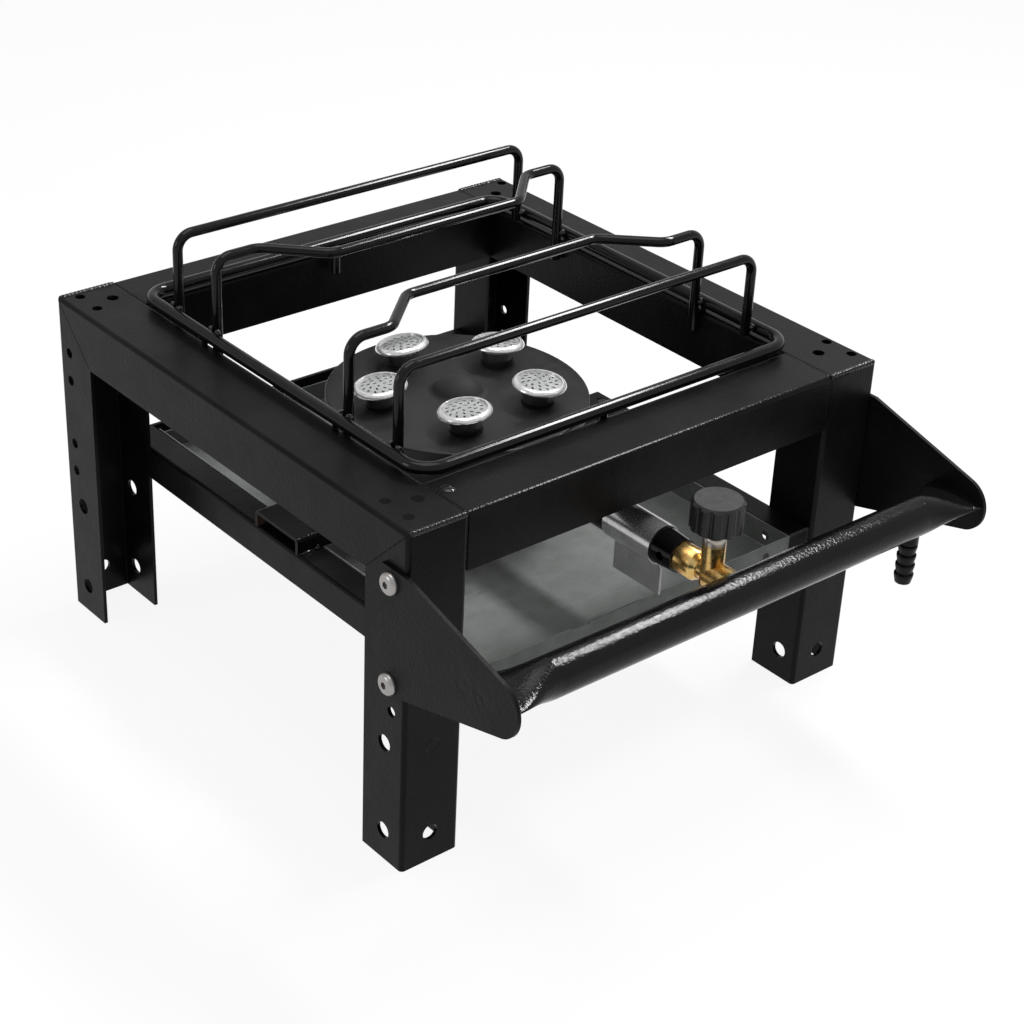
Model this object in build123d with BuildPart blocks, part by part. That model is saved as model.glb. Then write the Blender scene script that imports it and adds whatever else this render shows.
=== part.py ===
"""Outdoor stock pot range: a square channel frame with a lift-off wire grate, a five-port
burner on a cross bar, a slide-out drip tray and a front handle tube that carries the gas.

Millimetres.  X runs to the right of someone who faces the range, Y runs to the back and
Z runs up.  The origin is on the floor at the middle of the four legs.
"""
import os
from math import asin, cos, degrees, radians, sin, sqrt

from build123d import *

os.makedirs("parts", exist_ok=True)

# ---------------------------------------------------------------- driving dimensions
# Frame of folded channel
frame_width = 457.2
frame_depth = 457.2
frame_height = 283.6
leg_web = 51.9
leg_flange = 46.75
rail_flange = 46.1
frame_sheet = 3.0
frame_fold = 2.0  # bend radius at mid sheet

# Holes in the legs: the upper ones below the top of the frame, the lower ones above the
# floor, and all of them from the outer web face
bracket_hole = 8.5
bracket_hole_inset = 15.0
bracket_hole_drops = (150.4, 125.3, 68.3, 43.8)
foot_hole = 13.5
foot_hole_heights = (25.3, 102.5)
outer_foot_hole_inset = 22.5
inner_foot_hole_inset = 18.5
web_hole = 13.0

# Holes in the tops of the side rails: a small pair along the rail and one large hole
top_pair_hole = 8.2
top_pair_pitch = 26.2
top_large_hole = 9.6
top_large_shift = 20.0  # from the pair towards the middle of the range, across the rail
top_large_offset = 3.0  # from the pair's midpoint towards the middle, along the rail
top_pair_inset_left = 14.9
top_pair_inset_right = 8.6
top_pair_setback_front = 32.1
top_pair_setback_back = 24.1
plug_clearance = 0.1
plug_flange = 1.6
plug_flange_depth = 1.2

# Lower rails that carry the burner bar and hold the tray
tray_rail_drop = 132.8  # from the top of the frame
tray_rail_height = 28.0
tray_rail_flange = 23.0
tray_rail_front_setback = 2.6
tray_rail_back_setback = 12.6
strap_width = 25.0
strap_setback = 78.0

# Burner bar, an inverted channel across the lower rails
bar_width = 57.0
bar_rise = 14.0
bar_middle = 1.5
bar_end_hole = 6.0
bar_end_hole_inset = 8.7
bar_end_hole_offset = 13.5

# Drip tray
tray_sheet = 1.2
tray_side_gap = 1.2  # to the flange of each lower rail
tray_front_gap = 0.9  # behind the front face of the legs
tray_back_gap = 7.8  # ahead of the back bar
tray_side_lip = 20.3
tray_back_lip = 16.3
tray_seat_gap = 0.3
tray_hole = 8.0
tray_hole_drop = 10.7
tray_side_hole_setback = 24.5
tray_front_hole_inset = 25.5
tray_notch_length = 17.0
tray_notch_depth = 2.4
tray_notch_middle = -65.5

# Handle brackets
bracket_sheet = 3.0
bracket_back = 24.6  # behind the front face of the legs
bracket_shoulder = 3.4  # ahead of the front face of the legs
bracket_top_drop = 31.6  # from the top of the frame
bracket_bottom_drop = 137.6
bracket_tip_radius = 22.0
bracket_tip_ahead = 99.4
bracket_tip_drop = 80.6

# Handle tube, which is also the gas manifold
tube_radius = 15.3
tube_wall = 2.6
tube_ahead = 94.4
tube_drop = 79.6  # from the top of the frame to the tube's axis
tube_taper = 46.0
tube_flat_width = 50.0
tube_flat_thickness = 6.4
tube_flat_rise = 3.5

# Bracket screws and nuts
screw_shank = 8.0
screw_head = 17.5
screw_head_height = 4.4
screw_socket = 5.0
screw_socket_depth = 2.6
nut_flats = 13.0
nut_height = 6.5

# Hose barb under the right end of the tube
barb_inset = 50.6  # from the outer face of the right legs
barb_bore = 7.0
barb_neck = 12.4
barb_rib = 15.0
barb_rib_pitch = 8.4
barb_rib_count = 4
barb_length = 40.5

# Burner
burner_x = -2.4
burner_y = 0.0
burner_drop = 54.6  # from the top of the frame to the burner's face
burner_radius = 105.3
burner_plate = 4.5
burner_skirt = 9.2
burner_skirt_wall = 3.0
burner_edge_round = 1.6
burner_dome_radius = 21.0
burner_dome_rise = 12.0
burner_dome_blend = 6.0  # fillet between the dome and the face
pan_radius = 98.0
pan_wall = 3.0
pan_height = 40.5
spacer_radius = 8.0
spacer_offset = 58.0
bolt_shank = 8.0
bolt_flats = 13.0
bolt_head_height = 5.3

# Burner ports
port_count = 5
port_circle = 64.5
port_phase = 21.3
port_leans = ((3.2, 4.9), (-4.9, 9.7), (-6.0, 5.0), (-4.5, 5.1), (2.0, -2.2))  # degrees along X and Y
port_bore = 18.0
collar_radius = 13.2
collar_rise = 2.4
riser_radius = 11.8
riser_height = 8.0
tip_radius = 21.9
tip_neck_radius = 13.5
tip_neck_height = 1.2
tip_height = 8.1
tip_edge_drop = 3.2  # from the crest of the rim to its outer edge
tip_edge = 0.7
tip_bevel = 2.9  # from the outer edge in to the crest
tip_crest = 0.9
tip_ledge = 1.4
tip_ledge_depth = 2.4
screen_sheet = 0.9
screen_gap = 0.1
screen_dome = 1.2
screen_slot_width = 1.6
screen_slot_length = 3.0
screen_slot_twist = 35.0
screen_rings = ((4.0, 4), (8.9, 9), (13.6, 14))  # radius of each ring of slots and its count

# Mixer tube, air shutter, injector and valve
mixer_radius = 14.6
mixer_wall = 2.2
mixer_nose_radius = 13.3
mixer_nose_length = 22.0
mixer_reach = 10.0  # inside the burner pan
mixer_front = 33.4  # ahead of the front face of the legs
air_hole = 7.0
air_hole_setback = 10.0
shutter_gap = 0.3
shutter_sheet = 0.9
shutter_length = 50.0
shutter_setback = 20.0
shutter_tail_drop = 43.0  # below the mixer's axis
shutter_shoulder = 7.0
shutter_tail_gap = 0.2
injector_flats = 24.0
injector_length = 12.5
injector_spud = 9.0
injector_jet = 1.6
valve_radius = 8.7
valve_ahead = 63.4
valve_drop = 10.0  # below the tube's axis
valve_rise = 25.0  # above the tube's axis
valve_inlet_radius = 11.0
valve_neck_radius = 7.5
valve_bore = 8.0
packing_height = 8.0
packing_lip = 6.8
stem_radius = 3.6
stem_fit = 0.05
stem_start = 8.0  # above the tube's axis
knob_rise = 39.4  # above the tube's axis
knob_height = 22.2
knob_radius = 19.7
knob_top_chamfer = 2.2
knob_flutes = 12
knob_flute_radius = 4.0
knob_flute_depth = 1.3
knob_wall = 3.4
knob_recess = 13.0
knob_hub_radius = 7.5
stem_in_knob = 14.0

# Grate
grate_shift = 1.1  # the ring lies this far to the right of the frame's middle
ring_rod = 4.9
ring_side_overlap = 3.3  # of the rod's middle over the side rails
ring_end_overlap = 1.8  # of the rod's middle over the cross rails
ring_corner = 19.0
ring_lift = 2.8  # from the top of the frame to the underside of the ring
grate_seat_gap = 0.3
grate_pad_radius = 2.3
grate_pad_out = 2.7
bar_rod = 4.0
bar_bend = 13.0
bar_height = 68.8  # from the top of the frame to the middle of the rods
bar_places = (140.5, 87.0, -82.0, -140.0)
bar_jogs = (0.0, -40.5, 37.0, 0.0)
peg_drop = 14.8  # from the top of the frame down to the ends of the pegs
peg_places = (1.0, -4.0)  # along X, at the back and at the front
jog_inset = 37.9  # from a bar's leg to the bend where it leaves its line
jog_run = 41.0
jog_bend = 16.0

# ---------------------------------------------------------------- places worked out
half_width = frame_width / 2
half_depth = frame_depth / 2
inner_face = half_width - leg_web
bracket_hole_heights = [frame_height - drop for drop in bracket_hole_drops]
tray_rail_top = frame_height - tray_rail_drop
tray_rail_bottom = tray_rail_top - tray_rail_height
tray_width = 2 * (inner_face - tray_rail_flange - tray_side_gap)
bar_top_face = tray_rail_top + bar_rise
bracket_outer = half_width + bracket_sheet
screw_y = -half_depth + bracket_hole_inset
screw_heights = (bracket_hole_heights[1], bracket_hole_heights[3])
tube_y = -half_depth - tube_ahead
tube_height = frame_height - tube_drop
barb_middle = half_width - barb_inset
valve_y = -half_depth - valve_ahead
valve_body_top = tube_height + valve_rise
packing_top = valve_body_top + packing_height
stem_bottom = tube_height + stem_start
knob_bottom = tube_height + knob_rise
mixer_front_y = -half_depth - mixer_front
mixer_back_y = burner_y - pan_radius + mixer_reach
tray_front_y = -half_depth + tray_front_gap
back_bar_y = half_depth - tray_rail_back_setback
tray_back_y = back_bar_y - tray_back_gap
tray_floor = tray_rail_top - tray_side_lip - tray_sheet
ring_z = frame_height + ring_lift + ring_rod
ring_width = 2 * (inner_face + ring_side_overlap)
ring_depth = 2 * (half_depth - leg_web + ring_end_overlap)
bar_top = frame_height + bar_height
leg_reach = ring_width / 2 - ring_rod - bar_rod
peg_y = ring_depth / 2 - ring_rod - bar_rod
peg_end = frame_height - peg_drop
burner_face = frame_height - burner_drop
plate_under = burner_face - burner_plate
pan_bottom = plate_under - pan_height


def save(piece, name):
    """Label one finished piece and write it to its own file."""
    piece.part.label = name
    export_step(piece.part, f"parts/{name}.step")
    print(f"{name:24s} {piece.part.volume:12.1f} mm3")


def folded_channel(plane, length, web, flange):
    """A folded channel along the plane's normal: web on its X axis, flanges along its Y axis."""
    edge = (web - frame_sheet) / 2
    middle = frame_sheet / 2
    with BuildSketch(plane) as section:
        with BuildLine():
            FilletPolyline((-edge, flange), (-edge, middle), (edge, middle), (edge, flange), radius=frame_fold)
        trace(line_width=frame_sheet)
    extrude(section.sketch, amount=length)


def folded_angle(plane, length, height, flange):
    """A folded angle along the plane's normal: one leg on its Y axis, the other on its X axis."""
    middle = frame_sheet / 2
    with BuildSketch(plane) as section:
        with BuildLine():
            FilletPolyline((middle, height), (middle, middle), (flange, middle), radius=frame_fold)
        trace(line_width=frame_sheet)
    extrude(section.sketch, amount=length)


def drill(plane, points, diameter, depth):
    """Round holes through the sheet that lies at the plane."""
    with BuildSketch(plane) as holes:
        with Locations(*points):
            Circle(diameter / 2)
    extrude(holes.sketch, amount=depth, both=True, mode=Mode.SUBTRACT)


def mitre(y_sign):
    """The 45 degree plane in which a leg and a side rail meet."""
    return Plane(origin=(0, y_sign * half_depth, frame_height), z_dir=(0, -y_sign, 1))


def top_pair_places(x_sign, y_sign):
    """The two small holes near one corner of the range's top."""
    inset = top_pair_inset_left if x_sign < 0 else top_pair_inset_right
    setback = top_pair_setback_front if y_sign < 0 else top_pair_setback_back
    x = x_sign * (half_width - inset)
    y = y_sign * (half_depth - setback)
    return [(x, y - top_pair_pitch / 2), (x, y + top_pair_pitch / 2)]


def top_large_place(x_sign, y_sign):
    """The large hole beside a small pair."""
    first, second = top_pair_places(x_sign, y_sign)
    y = (first[1] + second[1]) / 2 - y_sign * top_large_offset
    return (first[0] - x_sign * top_large_shift, y)


# ---------------------------------------------------------------- frame
for side, x_sign in (("left", -1), ("right", 1)):
    for end, y_sign in (("front", -1), ("back", 1)):
        with BuildPart() as leg:
            foot = Plane(
                origin=(x_sign * (half_width - leg_web / 2), y_sign * half_depth, 0),
                x_dir=(-y_sign, 0, 0),
                z_dir=(0, 0, 1),
            )
            folded_channel(foot, frame_height, leg_web, leg_flange)
            split(bisect_by=mitre(y_sign), keep=Keep.BOTTOM)
            bracket_y = y_sign * (half_depth - bracket_hole_inset)
            drill(
                Plane.YZ.offset(x_sign * half_width),
                [(bracket_y, z) for z in bracket_hole_heights],
                bracket_hole,
                2 * frame_sheet,
            )
            drill(
                Plane.YZ.offset(x_sign * half_width),
                [(y_sign * (half_depth - outer_foot_hole_inset), z) for z in foot_hole_heights],
                foot_hole,
                2 * frame_sheet,
            )
            drill(
                Plane.YZ.offset(x_sign * inner_face),
                [(y_sign * (half_depth - inner_foot_hole_inset), z) for z in foot_hole_heights],
                foot_hole,
                2 * frame_sheet,
            )
            drill(
                Plane.XZ.offset(-y_sign * half_depth),
                [(x_sign * (half_width - leg_web / 2), foot_hole_heights[0])],
                web_hole,
                2 * frame_sheet,
            )
        save(leg, f"leg_{end}_{side}")

    with BuildPart() as side_rail:
        front_end = Plane(
            origin=(x_sign * (half_width - leg_web / 2), -half_depth, frame_height),
            x_dir=(1, 0, 0),
            z_dir=(0, 1, 0),
        )
        folded_channel(front_end, frame_depth, leg_web, leg_flange)
        for y_sign in (-1, 1):
            split(bisect_by=mitre(y_sign), keep=Keep.TOP)
            top = Plane.XY.offset(frame_height)
            drill(top, top_pair_places(x_sign, y_sign), top_pair_hole, 2 * frame_sheet)
            drill(top, [top_large_place(x_sign, y_sign)], top_large_hole, 2 * frame_sheet)
    save(side_rail, f"side_rail_{side}")

for end, y_sign in (("front", -1), ("back", 1)):
    with BuildPart() as cross_rail:
        left_end = Plane(
            origin=(-inner_face, y_sign * (half_depth - leg_web / 2), frame_height),
            x_dir=(0, -1, 0),
            z_dir=(1, 0, 0),
        )
        folded_channel(left_end, 2 * inner_face, leg_web, rail_flange)
    save(cross_rail, f"{end}_rail")

# Push-in plugs that close the three holes of the front left corner
with BuildPart() as hole_plugs:
    plug_holes = [(place, top_pair_hole) for place in top_pair_places(-1, -1)]
    plug_holes.append((top_large_place(-1, -1), top_large_hole))
    for place, diameter in plug_holes:
        with BuildSketch(Plane.XY.offset(frame_height)):
            with Locations(place):
                Circle(diameter / 2 - plug_clearance)
        extrude(amount=-frame_sheet)
        with BuildSketch(Plane.XY.offset(frame_height - frame_sheet)):
            with Locations(place):
                Circle(diameter / 2 + plug_flange)
        extrude(amount=-plug_flange_depth)
save(hole_plugs, "hole_plugs")

# ---------------------------------------------------------------- lower rails
rail_front_y = -half_depth + tray_rail_front_setback
rail_length = back_bar_y - rail_front_y
for side, x_sign in (("left", -1), ("right", 1)):
    with BuildPart() as tray_rail:
        rail_start = Plane(
            origin=(x_sign * inner_face, rail_front_y if x_sign < 0 else back_bar_y, tray_rail_top),
            x_dir=(-x_sign, 0, 0),
            z_dir=(0, -x_sign, 0),
        )
        folded_angle(rail_start, rail_length, tray_rail_height, tray_rail_flange)
    save(tray_rail, f"tray_rail_{side}")

with BuildPart() as tray_back_bar:
    with BuildSketch(Plane.XY.offset(tray_rail_bottom)):
        with Locations((0, back_bar_y + frame_sheet / 2)):
            Rectangle(2 * inner_face, frame_sheet)
    extrude(amount=tray_rail_height)
save(tray_back_bar, "tray_back_bar")

strap_top = tray_floor - tray_seat_gap
for end, y_sign in (("front", -1), ("back", 1)):
    with BuildPart() as tray_strap:
        with BuildSketch(Plane.XY.offset(strap_top)):
            with Locations((0, y_sign * (half_depth - strap_setback))):
                Rectangle(2 * (inner_face - frame_sheet), strap_width)
        extrude(amount=-frame_sheet)
    save(tray_strap, f"tray_strap_{end}")

spacer_places = [(burner_x - spacer_offset, bar_middle), (burner_x + spacer_offset, bar_middle)]
with BuildPart() as burner_bar:
    bar_start = Plane(
        origin=(-inner_face, bar_middle, bar_top_face),
        x_dir=(0, -1, 0),
        z_dir=(1, 0, 0),
    )
    folded_channel(bar_start, 2 * inner_face, bar_width, bar_rise)
    drill(
        Plane.XY.offset(bar_top_face),
        [(inner_face - bar_end_hole_inset, bar_middle + bar_end_hole_offset)],
        bar_end_hole,
        2 * frame_sheet,
    )
    drill(Plane.XY.offset(bar_top_face), spacer_places, bolt_shank, 2 * frame_sheet)
save(burner_bar, "burner_bar")

# ---------------------------------------------------------------- drip tray
with BuildPart() as drip_tray:
    tray_length = tray_back_y - tray_front_y
    side = (tray_width - tray_sheet) / 2
    with BuildSketch(Plane.XZ.offset(-tray_front_y)) as tray_section:
        with BuildLine():
            FilletPolyline(
                (-side, tray_rail_top),
                (-side, tray_floor + tray_sheet / 2),
                (side, tray_floor + tray_sheet / 2),
                (side, tray_rail_top),
                radius=tray_sheet,
            )
        trace(line_width=tray_sheet)
    extrude(amount=-tray_length)
    lips = (
        (tray_front_y + tray_sheet / 2, tray_side_lip),
        (tray_back_y - tray_sheet / 2, tray_back_lip),
    )
    for lip_y, lip_height in lips:
        with BuildSketch(Plane.XY.offset(tray_floor + tray_sheet / 2)):
            with Locations((0, lip_y)):
                Rectangle(tray_width - 2.5 * tray_sheet, tray_sheet)
        extrude(amount=lip_height + tray_sheet / 2)
    hole_height = tray_rail_top - tray_hole_drop
    side_hole_y = tray_front_y + tray_side_hole_setback
    for x_sign in (-1, 1):
        drill(Plane.YZ.offset(x_sign * side), [(side_hole_y, hole_height)], tray_hole, 2 * tray_sheet)
    front_hole_x = tray_width / 2 - tray_front_hole_inset
    drill(Plane.XZ.offset(-tray_front_y), [(front_hole_x, hole_height)], tray_hole, 2 * tray_sheet)
    with BuildSketch(Plane.XZ.offset(-tray_front_y)):
        with Locations((tray_notch_middle, tray_rail_top)):
            Rectangle(tray_notch_length, 2 * tray_notch_depth)
    extrude(amount=2 * tray_sheet, both=True, mode=Mode.SUBTRACT)
save(drip_tray, "drip_tray")

# ---------------------------------------------------------------- handle
bracket_tip = (-half_depth - bracket_tip_ahead, frame_height - bracket_tip_drop)
bracket_top = frame_height - bracket_top_drop
bracket_bottom = frame_height - bracket_bottom_drop
for side, x_sign in (("left", -1), ("right", 1)):
    with BuildPart() as handle_bracket:
        with BuildSketch(Plane.YZ.offset(x_sign * (half_width + bracket_sheet / 2))):
            with BuildLine():
                CenterArc(bracket_tip, bracket_tip_radius, 0, 360)
                Polyline(
                    (-half_depth + bracket_back, bracket_bottom),
                    (-half_depth + bracket_back, bracket_top),
                    (-half_depth - bracket_shoulder, bracket_top),
                )
            make_hull()
        extrude(amount=bracket_sheet / 2, both=True)
        drill(
            Plane.YZ.offset(x_sign * bracket_outer),
            [(screw_y, z) for z in screw_heights],
            bracket_hole,
            2 * bracket_sheet,
        )
    save(handle_bracket, f"handle_bracket_{side}")

with BuildPart() as handle_tube:
    straight_half = half_width - tube_taper
    with BuildSketch(Plane(origin=(0, tube_y, tube_height), z_dir=(1, 0, 0))):
        Circle(tube_radius)
    extrude(amount=straight_half, both=True)
    for x_sign in (-1, 1):
        for step in range(5):
            along = step / 4
            ease = along * along * (3 - 2 * along)
            across = tube_radius + ease * (tube_flat_width / 2 - tube_radius)
            upright = tube_radius + ease * (tube_flat_thickness / 2 - tube_radius)
            section = Plane(
                origin=(
                    x_sign * (straight_half + along * tube_taper),
                    tube_y,
                    tube_height + ease * tube_flat_rise,
                ),
                x_dir=(0, 1, 0),
                z_dir=(1, 0, 0),
            )
            with BuildSketch(section):
                Ellipse(across, upright)
        loft()
    with BuildSketch(Plane(origin=(0, tube_y, tube_height), z_dir=(1, 0, 0))):
        Circle(tube_radius - tube_wall)
    extrude(amount=straight_half - tube_wall, both=True, mode=Mode.SUBTRACT)
    with BuildSketch(Plane.XY.offset(tube_height)):
        with Locations((barb_middle, tube_y)):
            Circle(barb_bore / 2)
    extrude(amount=-tube_radius * 2, mode=Mode.SUBTRACT)
    with BuildSketch(Plane.XZ.offset(-tube_y)):
        with Locations((burner_x, tube_height)):
            Circle(valve_bore / 2)
    extrude(amount=-tube_radius * 2, mode=Mode.SUBTRACT)
save(handle_tube, "handle_tube")


def hexagon_prism(plane, flats, height):
    """A hexagonal prism on the plane, measured across its flats."""
    with BuildSketch(plane) as outline:
        RegularPolygon(flats / 2, 6, major_radius=False)
    extrude(outline.sketch, amount=height)


def round_bar(plane, radius, height, mode=Mode.ADD):
    """A round bar, or a round bore, on the plane."""
    with BuildSketch(plane) as outline:
        Circle(radius)
    extrude(outline.sketch, amount=height, mode=mode)


with BuildPart() as bracket_screws:
    screw_reach = bracket_sheet + frame_sheet + nut_height + frame_sheet / 2
    for x_sign in (-1, 1):
        for z in screw_heights:
            seat = Plane(origin=(x_sign * bracket_outer, screw_y, z), z_dir=(x_sign, 0, 0))
            with BuildSketch(seat):
                Circle(screw_head / 2)
            head = extrude(amount=screw_head_height, mode=Mode.PRIVATE)
            crown = head.edges().sort_by(Axis.X)[0 if x_sign < 0 else -1]
            add(head.fillet(screw_head_height * 0.9, [crown]))
            round_bar(seat, screw_shank / 2, -screw_reach)
            with BuildSketch(seat.offset(screw_head_height)):
                RegularPolygon(screw_socket / 2, 6, major_radius=False)
            extrude(amount=-screw_socket_depth, mode=Mode.SUBTRACT)
save(bracket_screws, "bracket_screws")

with BuildPart() as bracket_nuts:
    for x_sign in (-1, 1):
        for z in screw_heights:
            seat = Plane(
                origin=(x_sign * (half_width - frame_sheet), screw_y, z),
                z_dir=(-x_sign, 0, 0),
            )
            hexagon_prism(seat, nut_flats, nut_height)
            round_bar(seat, screw_shank / 2, nut_height, Mode.SUBTRACT)
save(bracket_nuts, "bracket_nuts")

# Barbs run down the spout; the saddle on top fits the tube's underside
with BuildPart() as hose_barb:
    spout_end = tube_height - tube_radius - barb_length
    rib_starts = [spout_end + barb_rib_pitch * (rib + 1) for rib in range(barb_rib_count)]
    outline = [(barb_bore / 2, tube_height), (barb_bore / 2, spout_end), (barb_neck / 2, spout_end)]
    for rib_top in rib_starts:
        outline.append((barb_rib / 2, rib_top - barb_rib_pitch * 0.3))
        outline.append((barb_rib / 2, rib_top - barb_rib_pitch * 0.1))
        outline.append((barb_neck / 2, rib_top))
    outline.append((barb_rib / 2, rib_starts[-1] + barb_rib_pitch * 0.1))
    outline.append((barb_rib / 2, tube_height))
    with BuildSketch(Plane(origin=(barb_middle, tube_y, 0), x_dir=(1, 0, 0), z_dir=(0, -1, 0))):
        with BuildLine():
            Polyline(*outline, close=True)
        make_face()
    revolve(axis=Axis((barb_middle, tube_y, 0), (0, 0, 1)))
    tube_axis_plane = Plane(origin=(0, tube_y, tube_height), z_dir=(1, 0, 0))
    round_bar(tube_axis_plane, tube_radius, half_width, Mode.SUBTRACT)
save(hose_barb, "hose_barb")

# ---------------------------------------------------------------- burner
burner_axis = Axis((burner_x, burner_y, 0), (0, 0, 1))
burner_section = Plane(origin=(burner_x, burner_y, 0), x_dir=(1, 0, 0), z_dir=(0, -1, 0))


def cap_point(edge_radius, middle_height, edge_height):
    """The point halfway out on a domed cap, from its middle and its edge."""
    rise = middle_height - edge_height
    ball = (edge_radius**2 + rise**2) / (2 * rise)
    halfway = edge_radius / 2
    return (halfway, middle_height - ball + sqrt(ball**2 - halfway**2))


def port_plane(port):
    """The plane on the burner's face from which one port stands, a few degrees off upright."""
    turn = radians(port_phase + 360 / port_count * port)
    lean_x, lean_y = (sin(radians(lean)) for lean in port_leans[port])
    return Plane(
        origin=(burner_x + port_circle * cos(turn), burner_y + port_circle * sin(turn), burner_face),
        z_dir=(lean_x, lean_y, sqrt(1 - lean_x**2 - lean_y**2)),
    )


with BuildPart() as burner_pan:
    with BuildSketch(burner_section):
        with BuildLine():
            Polyline(
                (0, pan_bottom),
                (pan_radius, pan_bottom),
                (pan_radius, plate_under),
                (pan_radius - pan_wall, plate_under),
                (pan_radius - pan_wall, pan_bottom + pan_wall),
                (0, pan_bottom + pan_wall),
                close=True,
            )
        make_face()
    revolve(axis=burner_axis)
    lower_edges = edges().filter_by(GeomType.CIRCLE).group_by(Axis.Z)[0]
    fillet(lower_edges, radius=pan_wall * 2)
    drill(Plane.XY.offset(pan_bottom), spacer_places, bolt_shank, 2 * pan_wall)
    round_bar(
        Plane(origin=(burner_x, burner_y, tube_height), z_dir=(0, -1, 0)),
        mixer_radius,
        pan_radius + pan_wall,
        Mode.SUBTRACT,
    )
save(burner_pan, "burner_pan")

with BuildPart() as burner_top:
    with BuildSketch(burner_section):
        with BuildLine():
            dome_edge = (burner_dome_radius, burner_face)
            dome_middle = (0, burner_face + burner_dome_rise)
            Polyline(
                (0, plate_under),
                (burner_radius - burner_skirt_wall, plate_under),
                (burner_radius - burner_skirt_wall, burner_face - burner_skirt),
                (burner_radius, burner_face - burner_skirt),
                (burner_radius, burner_face),
                dome_edge,
            )
            ThreePointArc(dome_edge, cap_point(dome_edge[0], dome_middle[1], dome_edge[1]), dome_middle)
            Line(dome_middle, (0, plate_under))
        make_face()
    revolve(axis=burner_axis)
    face_edges = edges().filter_by(GeomType.CIRCLE).filter_by_position(Axis.Z, burner_face, burner_face)
    fillet(face_edges.sort_by(SortBy.RADIUS)[0], radius=burner_dome_blend)
    fillet(face_edges.sort_by(SortBy.RADIUS)[-1], radius=burner_edge_round)
    for port in range(port_count):
        round_bar(port_plane(port).offset(-burner_plate / 2), collar_radius, burner_plate / 2 + collar_rise)
    for port in range(port_count):
        bore_plane = port_plane(port).offset(-2 * burner_plate)
        round_bar(bore_plane, port_bore / 2, 4 * burner_plate, Mode.SUBTRACT)
save(burner_top, "burner_top")

with BuildPart() as burner_spacers:
    with BuildSketch(Plane.XY.offset(bar_top_face)):
        with Locations(*spacer_places):
            Circle(spacer_radius)
            Circle(bolt_shank / 2, mode=Mode.SUBTRACT)
    extrude(amount=pan_bottom - bar_top_face)
save(burner_spacers, "burner_spacers")

with BuildPart() as burner_bolts:
    head_top = bar_top_face - frame_sheet
    bolt_reach = pan_bottom + pan_wall + nut_height + frame_sheet / 2 - head_top
    for x, y in spacer_places:
        hexagon_prism(Plane(origin=(x, y, head_top)), bolt_flats, -bolt_head_height)
        round_bar(Plane(origin=(x, y, head_top)), bolt_shank / 2, bolt_reach)
save(burner_bolts, "burner_bolts")

with BuildPart() as burner_nuts:
    for x, y in spacer_places:
        hexagon_prism(Plane(origin=(x, y, pan_bottom + pan_wall)), nut_flats, nut_height)
        round_bar(Plane(origin=(x, y, pan_bottom + pan_wall)), bolt_shank / 2, nut_height, Mode.SUBTRACT)
save(burner_nuts, "burner_nuts")

for port in range(port_count):
    riser_base = port_plane(port).offset(collar_rise)
    tip_base = riser_base.offset(riser_height)
    tip_section = Plane(origin=tip_base.origin, x_dir=tip_base.x_dir, z_dir=-tip_base.y_dir)
    tip_axis = Axis(tip_base.origin, tip_base.z_dir)

    with BuildPart() as riser:
        with BuildSketch(riser_base):
            Circle(riser_radius)
        with BuildSketch(tip_base):
            Circle(tip_neck_radius)
        loft()
        round_bar(riser_base, port_bore / 2, riser_height, Mode.SUBTRACT)
    save(riser, f"port_riser_{port + 1}")

    with BuildPart() as tip:
        edge_height = tip_height - tip_edge_drop
        rim_bottom = edge_height - tip_edge
        ledge_height = tip_height - tip_ledge_depth
        crest_outer = tip_radius - tip_bevel
        ledge_outer = crest_outer - tip_crest
        with BuildSketch(tip_section):
            with BuildLine():
                Line((port_bore / 2, 0), (tip_neck_radius, 0))
                Line((tip_neck_radius, 0), (tip_neck_radius, tip_neck_height))
                ThreePointArc(
                    (tip_neck_radius, tip_neck_height),
                    (tip_neck_radius * 0.62 + tip_radius * 0.38, tip_neck_height * 0.35 + rim_bottom * 0.65),
                    (tip_radius, rim_bottom),
                )
                Line((tip_radius, rim_bottom), (tip_radius, edge_height))
                ThreePointArc(
                    (tip_radius, edge_height),
                    (tip_radius - tip_bevel * 0.42, tip_height - tip_edge_drop * 0.36),
                    (crest_outer, tip_height),
                )
                Polyline(
                    (crest_outer, tip_height),
                    (ledge_outer, tip_height),
                    (ledge_outer, ledge_height),
                    (ledge_outer - tip_ledge, ledge_height),
                    (port_bore / 2, tip_neck_height),
                    (port_bore / 2, 0),
                )
            make_face()
        revolve(axis=tip_axis)
    save(tip, f"port_tip_{port + 1}")

    with BuildPart() as screen:
        screen_radius = ledge_outer - screen_gap
        flat_inner = ledge_outer - tip_ledge
        dome_under = ledge_height + screen_dome
        with BuildSketch(tip_section):
            with BuildLine():
                Line((0, dome_under), (0, dome_under + screen_sheet))
                ThreePointArc(
                    (0, dome_under + screen_sheet),
                    cap_point(flat_inner, dome_under + screen_sheet, ledge_height + screen_sheet),
                    (flat_inner, ledge_height + screen_sheet),
                )
                Polyline(
                    (flat_inner, ledge_height + screen_sheet),
                    (screen_radius, ledge_height + screen_sheet),
                    (screen_radius, ledge_height),
                    (flat_inner, ledge_height),
                )
                ThreePointArc(
                    (flat_inner, ledge_height),
                    cap_point(flat_inner, dome_under, ledge_height),
                    (0, dome_under),
                )
            make_face()
        revolve(axis=tip_axis)
        with BuildSketch(tip_base) as slots:
            for ring_radius, count in screen_rings:
                for slot in range(count):
                    turn = 360 / count * (slot + 0.5)
                    place = (ring_radius * cos(radians(turn)), ring_radius * sin(radians(turn)))
                    with Locations(place):
                        Rectangle(screen_slot_length, screen_slot_width, rotation=turn + screen_slot_twist)
        extrude(amount=tip_height, mode=Mode.SUBTRACT)
    save(screen, f"port_screen_{port + 1}")

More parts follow.
